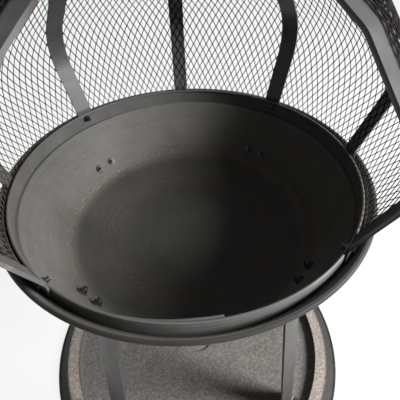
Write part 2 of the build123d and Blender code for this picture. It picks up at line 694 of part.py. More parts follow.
with BuildPart() as latch_lever:
    with BuildSketch(LATCH_PLACE.offset(LATCH_IN)):
        Circle(LATCH_W / 2)
        with Locations((0, LATCH_LEN / 2)):
            Rectangle(LATCH_W, LATCH_LEN)
        with Locations((0, LATCH_LEN)):
            Circle(LATCH_W / 2)
        Circle(2.5 + PIN_CLEAR, mode=Mode.SUBTRACT)
    extrude(amount=LATCH_T)
    with BuildSketch(LATCH_PLACE.offset(LATCH_IN + LATCH_T)):
        with Locations((0, LATCH_LEN)):
            Circle(4.5)
    extrude(amount=9)

HOOK_BACK = COLLAR_R - 20.0
HOOK_SEAT = LATCH_IN - 1.0
HOOK_LIP = LATCH_IN + LATCH_T + 1.5
with BuildPart() as latch_keeper:
    with BuildSketch(beside_plane(RIGHT_JAMB, 1.0)):
        with BuildLine():
            Polyline((HOOK_BACK, LATCH_Z - 11), (HOOK_LIP + 3, LATCH_Z - 11),
                     (HOOK_LIP + 3, LATCH_Z + 5), (HOOK_LIP, LATCH_Z + 5),
                     (HOOK_LIP, LATCH_Z - 7), (HOOK_SEAT, LATCH_Z - 7),
                     (HOOK_SEAT, LATCH_Z + 5), (HOOK_BACK, LATCH_Z + 5), close=True)
        make_face()
    extrude(amount=-6.5)
    clear_inside(STRAP_T, RIGHT_JAMB, 30)

with BuildPart() as door_handle:
    with BuildLine(beside_plane(RIGHT_JAMB, -11.0, DOOR)) as grip:
        FilletPolyline((COLLAR_R + 15, HANDLE_Z[0]), (HANDLE_OUT, HANDLE_Z[0]),
                       (HANDLE_OUT, HANDLE_Z[1]), (COLLAR_R + 15, HANDLE_Z[1]), radius=12)
    with BuildSketch(Plane(origin=grip.line @ 0, z_dir=grip.line % 0)):
        Circle(HANDLE_R)
    sweep()
    clear_inside(DOOR_OUT, RIGHT_JAMB, 30, DOOR)

PARTS = {
    "base_tray": base_tray, "bowl": bowl,
    "leg_back_right": leg_back_right, "leg_back_left": leg_back_left,
    "leg_front_left": leg_front_left, "leg_front_right": leg_front_right,
    "leg_bolts": leg_bolts, "leg_washers": leg_washers, "leg_nuts": leg_nuts,
    "foot_bolts": foot_bolts, "foot_nuts": foot_nuts,
    "collar": collar, "top_hoop": top_hoop,
    "strap_back_right": strap_back_right, "strap_back_left": strap_back_left,
    "jamb_left": jamb_left, "jamb_right": jamb_right,
    "strap_right": strap_right, "strap_back": strap_back, "strap_left": strap_left,
    "strip_left": strip_left, "strip_right": strip_right,
    "mesh_right": mesh_right, "mesh_back": mesh_back, "mesh_left": mesh_left,
    "collar_bolts": collar_bolts, "collar_nuts": collar_nuts,
    "hoop_bolts": hoop_bolts, "hoop_nuts": hoop_nuts, "hoop_spacers": hoop_spacers,
    "cap": cap, "cap_bolts": cap_bolts, "cap_nuts": cap_nuts, "cap_lugs": cap_lugs,
    "bail": bail,
    "door_stile_left": door_stile_left, "door_stile_right": door_stile_right,
    "door_rail_low": door_rail_low, "door_rail_high": door_rail_high,
    "door_mesh": door_mesh, "door_strap": door_strap,
    "jamb_ears": jamb_ears, "door_ears": door_ears, "hinge_pins": hinge_pins,
    "latch_stud": latch_stud, "latch_lever": latch_lever, "latch_keeper": latch_keeper,
    "door_handle": door_handle,
}

for name, piece in PARTS.items():
    piece.part.label = name
    export_step(piece.part, f"parts/{name}.step")
    box = piece.part.bounding_box()
    print(f"{name:18s} {piece.part.volume / 1000:9.1f} cm3  "
          f"{box.min.X:7.1f} {box.max.X:7.1f}  {box.min.Y:7.1f} {box.max.Y:7.1f}  "
          f"{box.min.Z:7.1f} {box.max.Z:7.1f}")
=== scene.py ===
# %% [markdown]
# # Fire pit with a globe spark screen
# The object is a spun steel bowl on four flat legs, standing in a base tray. A screen of bent
# straps and expanded metal drops into the bowl's rim, and its door swings at the left side.
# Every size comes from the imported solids. Most of them stay as they are and only get a finish.
# The pieces that need finer detail are made again here: the metal mesh, the bowl with its
# rolled rim, the collar with its lap, and most nuts with their bolts' threads.

# %% Load the frame
import json
from math import atan2, cos, degrees, pi, radians, sin, tan

import bmesh
import bpy
from mathutils import Matrix, Vector


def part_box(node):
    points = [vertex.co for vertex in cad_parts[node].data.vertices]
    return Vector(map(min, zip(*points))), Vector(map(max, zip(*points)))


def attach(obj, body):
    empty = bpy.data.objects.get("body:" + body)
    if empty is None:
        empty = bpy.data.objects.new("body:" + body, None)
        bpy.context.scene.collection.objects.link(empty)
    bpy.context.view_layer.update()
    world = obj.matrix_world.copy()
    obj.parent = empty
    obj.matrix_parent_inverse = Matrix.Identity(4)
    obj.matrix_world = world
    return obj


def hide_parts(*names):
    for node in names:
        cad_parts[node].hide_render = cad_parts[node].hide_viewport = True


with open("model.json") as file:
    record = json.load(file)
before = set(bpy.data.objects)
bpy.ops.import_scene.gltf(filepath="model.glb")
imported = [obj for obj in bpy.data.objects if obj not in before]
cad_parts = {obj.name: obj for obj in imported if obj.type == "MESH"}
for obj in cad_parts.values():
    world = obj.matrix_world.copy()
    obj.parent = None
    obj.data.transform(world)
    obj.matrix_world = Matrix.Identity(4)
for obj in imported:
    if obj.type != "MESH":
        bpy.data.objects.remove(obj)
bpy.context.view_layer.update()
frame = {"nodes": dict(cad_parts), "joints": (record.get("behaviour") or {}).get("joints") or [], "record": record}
nodes = frame["nodes"]
collar_low, collar_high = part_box("collar")
COLLAR_R = collar_high.x
COLLAR_TOP = collar_high.z
print("collar radius", round(COLLAR_R, 4), "top", round(COLLAR_TOP, 4))

# %% [markdown]
# ## Camera
# The view is that of a person who stands in front of the doorway and looks down into the bowl.
# A camera can be turned by three angles about the world's axes, but a heading, a tilt and a
# roll are easier to think about. Its distances are shares of the collar's radius, so it
# follows if the collar changes.

# %% Camera
LENS = 31.5
STAND_X, STAND_Y, STAND_UP = -0.0912, -1.6585, 1.2651
HEADING, TILT, ROLL = 0.1013, radians(43.0), -0.0313


def aim(heading, tilt, roll):
    """Camera turn from a heading right of straight ahead, a tilt down and a roll."""
    ahead = Vector((sin(heading) * cos(tilt), cos(heading) * cos(tilt), -sin(tilt)))
    right = Vector((cos(heading), -sin(heading), 0))
    up = right.cross(ahead)
    across = right * cos(roll) + up * sin(roll)
    upward = up * cos(roll) - right * sin(roll)
    return Matrix((across, upward, -ahead)).transposed().to_4x4()


camera = bpy.data.objects.new("camera", bpy.data.cameras.new("camera"))
bpy.context.scene.collection.objects.link(camera)
camera.data.lens = LENS
camera.data.sensor_width = 36
camera.data.clip_start = 0.01
stand = Vector((STAND_X * COLLAR_R, STAND_Y * COLLAR_R, COLLAR_TOP + STAND_UP * COLLAR_R))
camera.matrix_world = Matrix.Translation(stand) @ aim(HEADING, TILT, ROLL)
bpy.context.scene.camera = camera
print("camera at", [round(v, 3) for v in stand])

# %% [markdown]
# ## Finishes
# Everything is painted or blackened steel, so the finishes differ in small things: how rough
# the paint is, how much of the bronze rubbing shows, and where edges have worn to copper.
# Image textures would need unwrapped surfaces. A noise on Object coordinates needs none and has
# no seams, so each finish is a short chain of nodes, built with the helpers below.

# %% Start a finish, and set its gloss
def finish(name):
    """New node material with its shader and object coordinates."""
    material = bpy.data.materials.new(name)
    material.use_nodes = True
    tree = material.node_tree
    shader = tree.nodes["Principled BSDF"]
    place = tree.nodes.new("ShaderNodeTexCoord").outputs["Object"]
    return material, tree, shader, place


def feed(tree, value, socket):
    """Set a plain number or a colour on a socket, or link another socket to it."""
    if isinstance(value, (int, float)):
        socket.default_value = value
    elif isinstance(value, tuple):
        socket.default_value = (*value, 1)
    else:
        tree.links.new(value, socket)


def dress(tree, shader, colour, roughness, specular=0.5, metallic=0.0):
    """Colour and gloss of a surface."""
    feed(tree, colour, shader.inputs["Base Color"])
    feed(tree, roughness, shader.inputs["Roughness"])
    feed(tree, specular, shader.inputs["Specular IOR Level"])
    feed(tree, metallic, shader.inputs["Metallic"])


# %% Patterns: noise, ramp, blend, sum and bump
def noise(tree, place, scale, detail=4.0, rough=0.6):
    """Cloudy pattern from 0 to 1."""
    node = tree.nodes.new("ShaderNodeTexNoise")
    node.inputs["Scale"].default_value = scale
    node.inputs["Detail"].default_value = detail
    node.inputs["Roughness"].default_value = rough
    tree.links.new(place, node.inputs["Vector"])
    return node.outputs["Fac"]


def ramp(tree, value, *stops):
    """Colour ramp from (position, colour) stops, where a single number is a grey."""
    node = tree.nodes.new("ShaderNodeValToRGB")
    band = node.color_ramp
    while len(band.elements) < len(stops):
        band.elements.new(0.5)
    for element, (position, colour) in zip(band.elements, stops):
        element.position = position
        element.color = (*(colour if isinstance(colour, tuple) else (colour,) * 3), 1)
    tree.links.new(value, node.inputs["Fac"])
    return node.outputs["Color"]


def blend(tree, mask, low, high, how="MIX"):
    """Low where the mask is 0 and high where it is 1, or both multiplied."""
    node = tree.nodes.new("ShaderNodeMix")
    node.data_type = "RGBA"
    node.blend_type = how
    for value, socket in ((mask, 0), (low, 6), (high, 7)):
        feed(tree, value, node.inputs[socket])
    return node.outputs[2]


def maths(tree, how, a, b=None):
    """One sum on sockets or plain numbers."""
    node = tree.nodes.new("ShaderNodeMath")
    node.operation = how
    for value, socket in zip((a, b), node.inputs):
        if value is not None:
            feed(tree, value, socket)
    return node.outputs[0]


def bump(tree, shader, height, strength, distance):
    """Small relief in the surface's shading."""
    node = tree.nodes.new("ShaderNodeBump")
    node.inputs["Strength"].default_value = strength
    node.inputs["Distance"].default_value = distance
    tree.links.new(height, node.inputs["Height"])
    tree.links.new(node.outputs["Normal"], shader.inputs["Normal"])


# %% [markdown]
# The bowl, the collar and the tray are round, and tools leave marks on round work that run with
# the turn. Plain coordinates can't follow them. So these two helpers measure each point from the
# upright centre line: its distance, its turn about the line and its height.

# %% Coordinates that follow round work
def from_middle(tree, place):
    """Distance from the centre line, turn about it and height, as sockets."""
    split = tree.nodes.new("ShaderNodeSeparateXYZ")
    tree.links.new(place, split.inputs["Vector"])
    x, y, z = split.outputs
    reach = maths(tree, "SQRT", maths(tree, "ADD", maths(tree, "MULTIPLY", x, x),
                                      maths(tree, "MULTIPLY", y, y)))
    return reach, maths(tree, "ARCTAN2", y, x), z


def ringwise(tree, place, along, across):
    """Coordinates for streaks that run round the centre line and are fine across it."""
    reach, turn, height = from_middle(tree, place)
    join = tree.nodes.new("ShaderNodeCombineXYZ")
    for value, scale, axis in ((turn, along, "X"), (reach, across, "Y"), (height, across, "Z")):
        tree.links.new(maths(tree, "MULTIPLY", value, scale), join.inputs[axis])
    return join.outputs["Vector"]


# %% [markdown]
# The bowl is spun steel sprayed near-black, then rubbed with bronze while it turns, so the
# rubbing shows as rings. A noise on ring-wise coordinates gives the rings. A plain noise decides
# where they show through the darker spray, because real rubbing is uneven.

# %% Bowl finish: rubbed rings
bronze, tree, shader, place = finish("rubbed_bronze")
rings = noise(tree, ringwise(tree, place, 1.6, 330.0), 1.0, 5.0, 0.68)
cloud = noise(tree, place, 7.0, 5.0, 0.6)
dust = noise(tree, place, 55.0, 6.0, 0.7)
sprayed = ramp(tree, cloud, (0.32, (0.098, 0.097, 0.091)), (0.70, (0.162, 0.160, 0.151)))
rubbed = ramp(tree, rings, (0.36, (0.093, 0.093, 0.087)), (0.58, (0.160, 0.157, 0.146)),
              (0.78, (0.225, 0.208, 0.182)))
coat = blend(tree, ramp(tree, dust, (0.38, 0.10), (0.68, 0.58)), sprayed, rubbed)
print("rings on", bronze.name)

# %% [markdown]
# Where the coat wore through, flecks of copper show. They are thick in a few bands that run
# round the bowl and thin between them. Positions across the bowl are shares of the collar's
# width, measured from the middle, so 0.5 is at the collar.

# %% Bowl finish: copper flecks in bands
COPPER = (0.36, 0.19, 0.125)
fleck = noise(tree, ringwise(tree, place, 26.0, 430.0), 1.0, 4.0, 0.72)
share = maths(tree, "MULTIPLY", from_middle(tree, place)[0], 0.5 / COLLAR_R)
bands = ramp(tree, share, (0.20, 0.0), (0.27, 0.75), (0.33, 0.2), (0.385, 0.05), (0.391, 0.80),
             (0.399, 0.80), (0.410, 0.15), (0.455, 0.30), (0.475, 0.10))
patches = maths(tree, "MAXIMUM", ramp(tree, cloud, (0.46, 0.0), (0.62, 0.40)), bands)
worn_through = maths(tree, "ADD", fleck, maths(tree, "MULTIPLY", bands, 0.030))
spots = ramp(tree, worn_through, (0.555, 0.0), (0.62, 1.0))
coat = blend(tree, maths(tree, "MULTIPLY", spots, patches), coat, COPPER)
print("flecks on", bronze.name)

# %% [markdown]
# The floor and the rim's outer edge are darker, a painted shade, and the whole outside of the bowl
# is half as bright as the inside, a painted shade too. One colour ramp by distance can't do both,
# because the wall's two faces are equally far out. The surface's own direction tells them apart:
# outside, it points away from the centre line.

# %% Bowl finish: painted shade on the floor, the rim and the outside, and gloss
def outside(tree, place):
    """1 where the surface points away from the centre line, 0 where it points towards it."""
    level = tree.nodes.new("ShaderNodeVectorMath")
    level.operation = "MULTIPLY"
    level.inputs[1].default_value = (1, 1, 0)
    facing = tree.nodes.new("ShaderNodeTexCoord").outputs["Normal"]
    tree.links.new(facing, level.inputs[0])
    outward = tree.nodes.new("ShaderNodeVectorMath")
    outward.operation = "DOT_PRODUCT"
    tree.links.new(level.outputs[0], outward.inputs[0])
    tree.links.new(place, outward.inputs[1])
    return maths(tree, "GREATER_THAN", outward.outputs["Value"], 0.0)


# Painted shade: the floor and the rim's outer edge are darker, by distance from the middle.
painted_floor_rim_shade = ramp(tree, share, (0.0, 0.66), (0.36, 0.55), (0.42, 1.0), (0.507, 1.0), (0.512, 0.90),
            (0.535, 0.64))
coat = blend(tree, 1.0, coat, painted_floor_rim_shade, "MULTIPLY")
# Painted shade: the outside of the bowl at half the brightness of the inside.
coat = blend(tree, 1.0, coat, ramp(tree, outside(tree, place), (0.0, 1.0), (1.0, 0.5)),
             "MULTIPLY")
dress(tree, shader, coat, ramp(tree, rings, (0.35, 0.46), (0.7, 0.62)), specular=0.12)
bump(tree, shader, rings, 0.12, 0.0005)
print("finish", bronze.name)

# %% [markdown]
# The straps and the door's frame are satin heat paint over rolled strip: nearly black, slightly
# mottled, with a fine orange-peel bump that breaks up the highlights. A darker copy of the paint
# puts painted shade on the legs and the right side of the doorway, so one function makes both.

# %% Heat paint, plain and with painted shade
def heat_paint(name, low, high):
    """Satin heat paint, mottled between two greys."""
    paint, tree, shader, place = finish(name)
    mottle = noise(tree, place, 34.0, 5.0, 0.6)
    colour = ramp(tree, mottle, (0.3, (low, low, low * 0.98)), (0.7, (high, high, high * 0.97)))
    dress(tree, shader, colour, ramp(tree, mottle, (0.3, 0.34), (0.7, 0.48)), specular=0.22)
    bump(tree, shader, noise(tree, place, 900.0, 2.0, 0.5), 0.10, 0.0003)
    print("finish", paint.name)
    return paint


satin = heat_paint("satin_heat_paint", 0.090, 0.118)
# Darker copy of the same paint: painted shade for the legs and the doorway's right side.
painted_shade = heat_paint("painted_shade_heat_paint", 0.042, 0.058)

# %% [markdown]
# The collar has the same paint, but rolling drew fine streaks along it, and some are rubbed
# brown. The streaks are the bowl's ring-wise noise again, only finer.

# %% Rolled collar paint
RUBBED_BROWN = (0.16, 0.12, 0.095)
rolled, tree, shader, place = finish("rolled_collar_paint")
streak = noise(tree, ringwise(tree, place, 2.0, 420.0), 1.0, 4.0, 0.6)
mottle = noise(tree, place, 26.0, 5.0, 0.6)
paint = ramp(tree, mottle, (0.3, (0.110, 0.109, 0.107)), (0.7, (0.142, 0.139, 0.135)))
streaked = ramp(tree, streak, (0.55, 0.0), (0.8, 0.35))
dress(tree, shader, blend(tree, streaked, paint, RUBBED_BROWN),
      ramp(tree, streak, (0.3, 0.30), (0.7, 0.42)), specular=0.25)
print("finish", rolled.name)

# %% [markdown]
# The screen's mesh is black from the fire. Its lowest rows are a lighter brown grey, a painted
# highlight where their strands catch the light on top. That part is chosen by height, which is
# simpler than painting it on and follows the collar.

# %% Blackened strands
LIT_ROWS_TOP = COLLAR_TOP + 0.022
strand, tree, shader, place = finish("blackened_strands")
flake = noise(tree, place, 120.0, 3.0, 0.6)
black = ramp(tree, flake, (0.35, (0.010, 0.010, 0.011)), (0.7, (0.028, 0.022, 0.019)))
# Painted highlight: the lighter brown grey of the low rows' lit strands.
worn_and_lit = ramp(tree, flake, (0.35, (0.040, 0.036, 0.033)), (0.7, (0.120, 0.094, 0.078)))
lit_low_rows = maths(tree, "LESS_THAN", from_middle(tree, place)[2], LIT_ROWS_TOP)
dress(tree, shader, blend(tree, lit_low_rows, black, worn_and_lit),
      ramp(tree, flake, (0.3, 0.6), (0.7, 0.8)), specular=0.05)
print("finish", strand.name)

# %% [markdown]
# The strips beside the doorway, and the jamb on its left, are worn to copper along one edge.
# They stand on the two front diagonals of the plan. The size of x, plus y, is 0 there and falls
# towards the doorway, so it finds that edge on both sides. A little noise makes the limit of the
# wear ragged, and a second one makes it uneven.

# %% Copper-worn strip
WEAR_LINE = -0.0291
RAGGED = 0.0014
edge, tree, shader, place = finish("copper_worn_strip")
rub = noise(tree, place, 70.0, 6.0, 0.7)
split = tree.nodes.new("ShaderNodeSeparateXYZ")
tree.links.new(place, split.inputs["Vector"])
to_doorway = maths(tree, "ADD", maths(tree, "ABSOLUTE", split.outputs["X"]), split.outputs["Y"])
limit = maths(tree, "ADD", maths(tree, "MULTIPLY", rub, RAGGED), WEAR_LINE)
uneven = ramp(tree, noise(tree, place, 26.0, 3.0, 0.6), (0.40, 0.30), (0.60, 0.70))
worn = maths(tree, "MULTIPLY", maths(tree, "LESS_THAN", to_doorway, limit), uneven)
paint = ramp(tree, rub, (0.3, (0.090, 0.089, 0.088)), (0.7, (0.118, 0.117, 0.114)))
worn_and_lit = ramp(tree, rub, (0.40, (0.12, 0.072, 0.052)), (0.66, (0.23, 0.135, 0.095)))
dress(tree, shader, blend(tree, worn, paint, worn_and_lit),
      ramp(tree, rub, (0.3, 0.50), (0.7, 0.38)), specular=0.25)
print("finish", edge.name)

# %% [markdown]
# The tray has the bowl's bronze, but speckled rather than ringed. Light and shade are painted on
# it in rings: the plate round the bowl is lighter, a painted highlight on its flat top, and a thin
# line at the plate's inner edge and the tray's edge are darker, a painted shade. Those rings are
# again distances from the middle: 1 is at the collar's radius divided by 0.769, near the tray's
# edge. Ramp colours over 1 lighten the coat that they multiply.

# %% Tray finish
TRAY_SHARE = 0.769
SHADED_EDGE = 0.22
LIT_PLATE = (2.5, 2.4, 2.3)
speckled, tree, shader, place = finish("speckled_tray_paint")
grain = noise(tree, place, 240.0, 4.0, 0.65)
wide = noise(tree, place, 12.0, 4.0, 0.6)
ground = ramp(tree, wide, (0.3, (0.105, 0.098, 0.092)), (0.7, (0.155, 0.146, 0.138)))
speckle = ramp(tree, grain, (0.40, (0.05, 0.045, 0.040)), (0.56, (0.17, 0.160, 0.152)),
               (0.70, (0.34, 0.24, 0.18)))
coat = blend(tree, ramp(tree, grain, (0.30, 0.35), (0.70, 0.65)), ground, speckle)
reach = maths(tree, "MULTIPLY", from_middle(tree, place)[0], TRAY_SHARE / COLLAR_R)
# Painted light and shade in rings: a highlight on the plate, shade at its inner line and the edge.
light_and_shade_zones = ramp(tree, reach, (0.880, 1.25), (0.888, 0.30), (0.894, LIT_PLATE), (0.955, LIT_PLATE),
            (0.972, SHADED_EDGE), (1.0, SHADED_EDGE))
dress(tree, shader, blend(tree, 1.0, coat, light_and_shade_zones, "MULTIPLY"), 0.55, specular=0.2)
bump(tree, shader, grain, 0.15, 0.0004)
print("finish", speckled.name)

# %% [markdown]
# Nuts, bolts and pins are blackened steel, not painted. They keep a metal's tight highlights,
# so this finish is partly metallic and smoother than the paints.

# %% Hardware finish
black_steel, tree, shader, place = finish("blackened_steel")
oil = noise(tree, place, 160.0, 4.0, 0.6)
dress(tree, shader, ramp(tree, oil, (0.3, (0.016, 0.016, 0.017)), (0.7, (0.060, 0.058, 0.056))),
      ramp(tree, oil, (0.3, 0.26), (0.7, 0.44)), metallic=0.6)
print("finish", black_steel.name)

# %% [markdown]
# The record names a material slot for each solid, which gives most of them their finish. A few
# pieces differ from the rest of their slot and have a finish of their own: the legs, their washers
# and the doorway's right jamb get the darker paint, a painted shade.

# %% Put the finishes on the solids
FINISH_OF_SLOT = {"bowl_bronze": bronze, "frame_black": satin, "mesh_black": strand,
                  "tray_grey": speckled, "hardware": black_steel, "worn_strip": edge}
OWN_FINISH = {"collar": rolled, "jamb_left": edge, "jamb_right": painted_shade, "leg_washers": painted_shade,
              "leg_back_left": painted_shade, "leg_back_right": painted_shade, "leg_front_left": painted_shade,
              "leg_front_right": painted_shade}
slot_of = {sub["node"]: sub["material_slot"] for sub in frame["record"]["subparts"]}
for name, node in nodes.items():
    node.data.materials.clear()
    node.data.materials.append(OWN_FINISH.get(name) or FINISH_OF_SLOT[slot_of[name]])
    for polygon in node.data.polygons:
        polygon.material_index = 0
print("finished", len(nodes), "solids")

# %% [markdown]
# ## Expanded metal
# The panels are slit and stretched sheet, which leaves rows of tall diamonds between slanted
# strands. A plain sheet that is only painted as mesh would have no thickness and no real holes.
# A grid turned onto its corner has exactly this pattern. So each panel is a grid, cut square,
# thickened into a frame round each diamond, and bent onto the line that the straps follow.

# %% The strap line that the panels follow
BELLY = (COLLAR_R + 0.044, 0.1205)
SHOULDER = (COLLAR_R - 0.048, 0.2382)
CROWN = (COLLAR_R - 0.100, 0.275)
WIDEST = COLLAR_R + 0.0331
mesh_low, mesh_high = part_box("mesh_back")
corners = [(COLLAR_R, mesh_low.z - COLLAR_TOP), (COLLAR_R, 0.006), BELLY, SHOULDER, CROWN,
           (CROWN[0], mesh_high.z - COLLAR_TOP)]


def rounded(points, radii, steps=8):
    """Line of radius and height through the points, with each bend as an arc."""
    line = [Vector(points[0])]
    for before, here, after, radius in zip(points, points[1:], points[2:], radii):
        here = Vector(here)
        back = (Vector(before) - here).normalized()
        on = (Vector(after) - here).normalized()
        half = back.angle(on) / 2
        centre = here + (back + on).normalized() * radius / sin(half)
        reach = radius / tan(half)
        first, last = here + back * reach - centre, here + on * reach - centre
        for i in range(steps + 1):
            line.append(centre + first.slerp(last, i / steps) * radius)
    line.append(Vector(points[-1]))
    return line


strap_line = rounded(corners, (0.013, 0.080, 0.040, 0.013))
lengths = [0.0]
for a, b in zip(strap_line, strap_line[1:]):
    lengths.append(lengths[-1] + (b - a).length)
LINE = lengths[-1]
print("strap line", round(LINE, 4), "m in", len(strap_line), "points")


def on_line(s, out):
    """Radius and height at a length along the line, moved outward."""
    s = min(max(s, 0.0), LINE)
    i = min(max(j for j, at in enumerate(lengths) if at <= s), len(strap_line) - 2)
    a, b = strap_line[i], strap_line[i + 1]
    step = (b - a).normalized()
    spot = a + step * (s - lengths[i])
    return spot.x + step.y * out, spot.y - step.x * out


# %% [markdown]
# A bmesh is only a workbench: it has to be written to a mesh, and the mesh needs an object in
# the scene. Every new piece ends that way, so one helper does it.

# %% From a bmesh to a piece
def new_piece(name, bm, material):
    """Object at the origin with the bmesh's shape and one material."""
    mesh = bpy.data.meshes.new(name)
    bm.to_mesh(mesh)
    bm.free()
    mesh.materials.append(material)
    piece = bpy.data.objects.new(name, mesh)
    bpy.context.scene.collection.objects.link(piece)
    print(name, "faces", len(mesh.polygons))
    return piece


# %% Weave of diamonds, bent onto the line
CELL_W = 0.0126
CELL_H = 0.0208
STRAND = 0.0024
SHEET = 0.0012
SLIVER = 0.0012


def expanded_panel(name, middle_angle, half_width, low, high, out):
    """Expanded metal over an arc, from a low to a high length of the strap line.

    Half_width is the panel's half width at the belly, and out is how far it stands off the line.
    """
    bm = bmesh.new()
    length = high - low
    cells = int(half_width * 2 / CELL_W + length / CELL_H) + 4
    bmesh.ops.create_grid(bm, x_segments=cells, y_segments=cells, size=cells / 2)
    bmesh.ops.rotate(bm, verts=bm.verts, cent=(0, 0, 0), matrix=Matrix.Rotation(pi / 4, 3, "Z"))
    bmesh.ops.scale(bm, verts=bm.verts, vec=(CELL_W / 2 ** 0.5, CELL_H / 2 ** 0.5, 1))
    for normal, edge_at in (((1, 0, 0), half_width), ((-1, 0, 0), half_width),
                            ((0, 1, 0), length / 2), ((0, -1, 0), length / 2)):
        bmesh.ops.bisect_plane(bm, geom=bm.verts[:] + bm.edges[:] + bm.faces[:], dist=1e-6,
                               plane_co=Vector(normal) * edge_at, plane_no=normal,
                               clear_outer=True)
    bmesh.ops.dissolve_degenerate(bm, dist=SLIVER, edges=bm.edges)
    bmesh.ops.wireframe(bm, faces=bm.faces, thickness=STRAND, use_replace=True,
                        use_boundary=True, use_even_offset=False)
    top = max(v.co.z for v in bm.verts)
    for v in bm.verts:
        lift = v.co.z / top * SHEET / 2
        r, z = on_line(low + length / 2 + v.co.y, out + SHEET / 2 + lift)
        angle = middle_angle + v.co.x / WIDEST
        v.co = Vector((r * cos(angle), r * sin(angle), COLLAR_TOP + z))
    bmesh.ops.recalc_face_normals(bm, faces=bm.faces)
    return new_piece(name, bm, strand)


# %% [markdown]
# The three fixed panels lie on the outside of the inner straps. Two of them meet over each of
# the back ones, a small gap apart, and the two front edges lie on the doorway's jambs. So each
# panel's arc runs from one inner strap to the next, less half a gap at both ends.

# %% Right, back and left panels
STRAP_T = 0.0025
STRAP_ANGLES = (-45.0, 44.0, 132.5, 225.0)
PANEL_EDGE = 0.008 * WIDEST / COLLAR_R
for name, start, end in zip(("mesh_right", "mesh_back", "mesh_left"), STRAP_ANGLES,
                            STRAP_ANGLES[1:]):
    half = WIDEST * radians(end - start) / 2 - PANEL_EDGE
    panel = expanded_panel("strands_" + name, radians(start + end) / 2, half, 0.0, LINE, STRAP_T)
    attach(panel, "screen")
    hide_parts(name)

# %% [markdown]
# The door's panel is the same metal, outside the door's frame. It is made where it would be
# with the door shut, then turned with the door about the hinge line. That is simpler than
# bending it onto a line that already stands open.

# %% Door panel
# Foot and head are lengths from the two ends of the strap line. The margins bring the panel's
# edges in from them, and from the middles of the jambs, onto the door's frame.
DOOR_FOOT, DOOR_HEAD = 0.0192, 0.022
LOW_MARGIN, HIGH_MARGIN, SIDE_MARGIN = 0.0045, 0.0166, 0.0265
DOOR_SKIN = 0.0065
swing = next(joint for joint in frame["joints"] if joint["name"] == "door_swing")
shut = radians(max(swing["range_deg"]))
door_panel = expanded_panel("strands_door", -pi / 2, WIDEST * radians(45) - SIDE_MARGIN,
                            DOOR_FOOT + LOW_MARGIN, LINE - DOOR_HEAD - HIGH_MARGIN, DOOR_SKIN)
hinge = Vector(swing["pos_m"])
door_panel.data.transform(Matrix.Translation(hinge) @ Matrix.Rotation(-shut, 4, "Z")
                          @ Matrix.Translation(-hinge))
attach(door_panel, "door")
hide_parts("door_mesh")
print("door panel turned", round(degrees(-shut)), "degrees")

# %% [markdown]
# ## Bowl
# The bowl is one spun sheet. Its wall runs into a shallow dished floor through a wide soft bend,
# and its edge is rolled into a bead. It could be pressed from a grid or extruded ring by ring,
# but Blender can spin a section just as a lathe does: the section shows both faces of the
# sheet, is drawn once, and is spun about the centre line.

# %% Spin a section round the centre line
ON_AXIS = 1e-5
ROUND_STEPS = 256
CREASE = radians(40)


def spun(outline, start=0.0, turn=2 * pi, steps=ROUND_STEPS, closed=True, climb=0.0):
    """Outline of radius and height, spun about the upright line through the origin.

    The outline is a loop, or an open line if closed is False. Climb is the rise at each step.
    """
    bm = bmesh.new()
    spots = [bm.verts.new((r * cos(start), r * sin(start), z)) for r, z in outline]
    pairs = zip(spots, spots[1:] + spots[:1] if closed else spots[1:])
    edges = [bm.edges.new((a, b)) for a, b in pairs if a.co.xy.length + b.co.xy.length > ON_AXIS]
    bmesh.ops.spin(bm, geom=spots + edges, cent=(0, 0, 0), axis=(0, 0, 1), dvec=(0, 0, climb),
                   angle=turn, steps=steps, use_merge=closed and turn == 2 * pi)
    return bm


def spun_piece(name, bm, material):
    """Spun sheet lifted to the collar's top, smooth but for its sharp corners."""
    bmesh.ops.translate(bm, verts=bm.verts, vec=(0, 0, COLLAR_TOP))
    bmesh.ops.remove_doubles(bm, verts=bm.verts, dist=1e-6)
    bmesh.ops.recalc_face_normals(bm, faces=bm.faces)
    for face in bm.faces:
        face.smooth = True
    for e in bm.edges:
        e.smooth = e.calc_face_angle(0.0) < CREASE
    return new_piece(name, bm, material)


# %% Bowl
BOWL_SHEET = 0.002
RIM_CENTRE = Vector((COLLAR_R + 0.014, -0.009))
RIM_ROLL = 0.004
ROLL_START, ROLL_SWEEP, ROLL_STEPS = -130, 300, 24
LEDGE = COLLAR_R - 0.007
LEDGE_Z = -0.027
WALL = LEDGE - 0.050
WALL_FOOT_Z = -0.125
FLOOR_EDGE = WALL - 0.083
FLOOR_EDGE_Z, MIDDLE_Z = -0.147, -0.148


def sheet_outline(line, thickness):
    """Both faces of a sheet whose upper face follows the line from its rim to the middle.

    Both end on the centre line, so that spinning closes them to a point.
    """
    under = []
    for i, here in enumerate(line):
        step = (line[min(i + 1, len(line) - 1)] - line[max(i - 1, 0)]).normalized()
        under.append((here.x - step.y * thickness, here.y + step.x * thickness))
    under[-1] = (0.0, under[-1][1])
    return [(p.x, p.y) for p in line] + under[::-1]


roll = []
for k in range(ROLL_STEPS + 1):
    a = radians(ROLL_START + ROLL_SWEEP * k / ROLL_STEPS)
    roll.append(RIM_CENTRE + Vector((cos(a), sin(a))) * RIM_ROLL)
dish = rounded([(roll[-1].x, roll[-1].y), (COLLAR_R, LEDGE_Z), (LEDGE, LEDGE_Z),
                (WALL, WALL_FOOT_Z), (FLOOR_EDGE, FLOOR_EDGE_Z), (0.0, MIDDLE_Z)],
               (0.0015, 0.0015, 0.026, 0.32), 10)
bowl = spun_piece("spun_bowl", spun(sheet_outline(roll[:-1] + dish, BOWL_SHEET)), bronze)
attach(bowl, "base")
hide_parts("bowl")

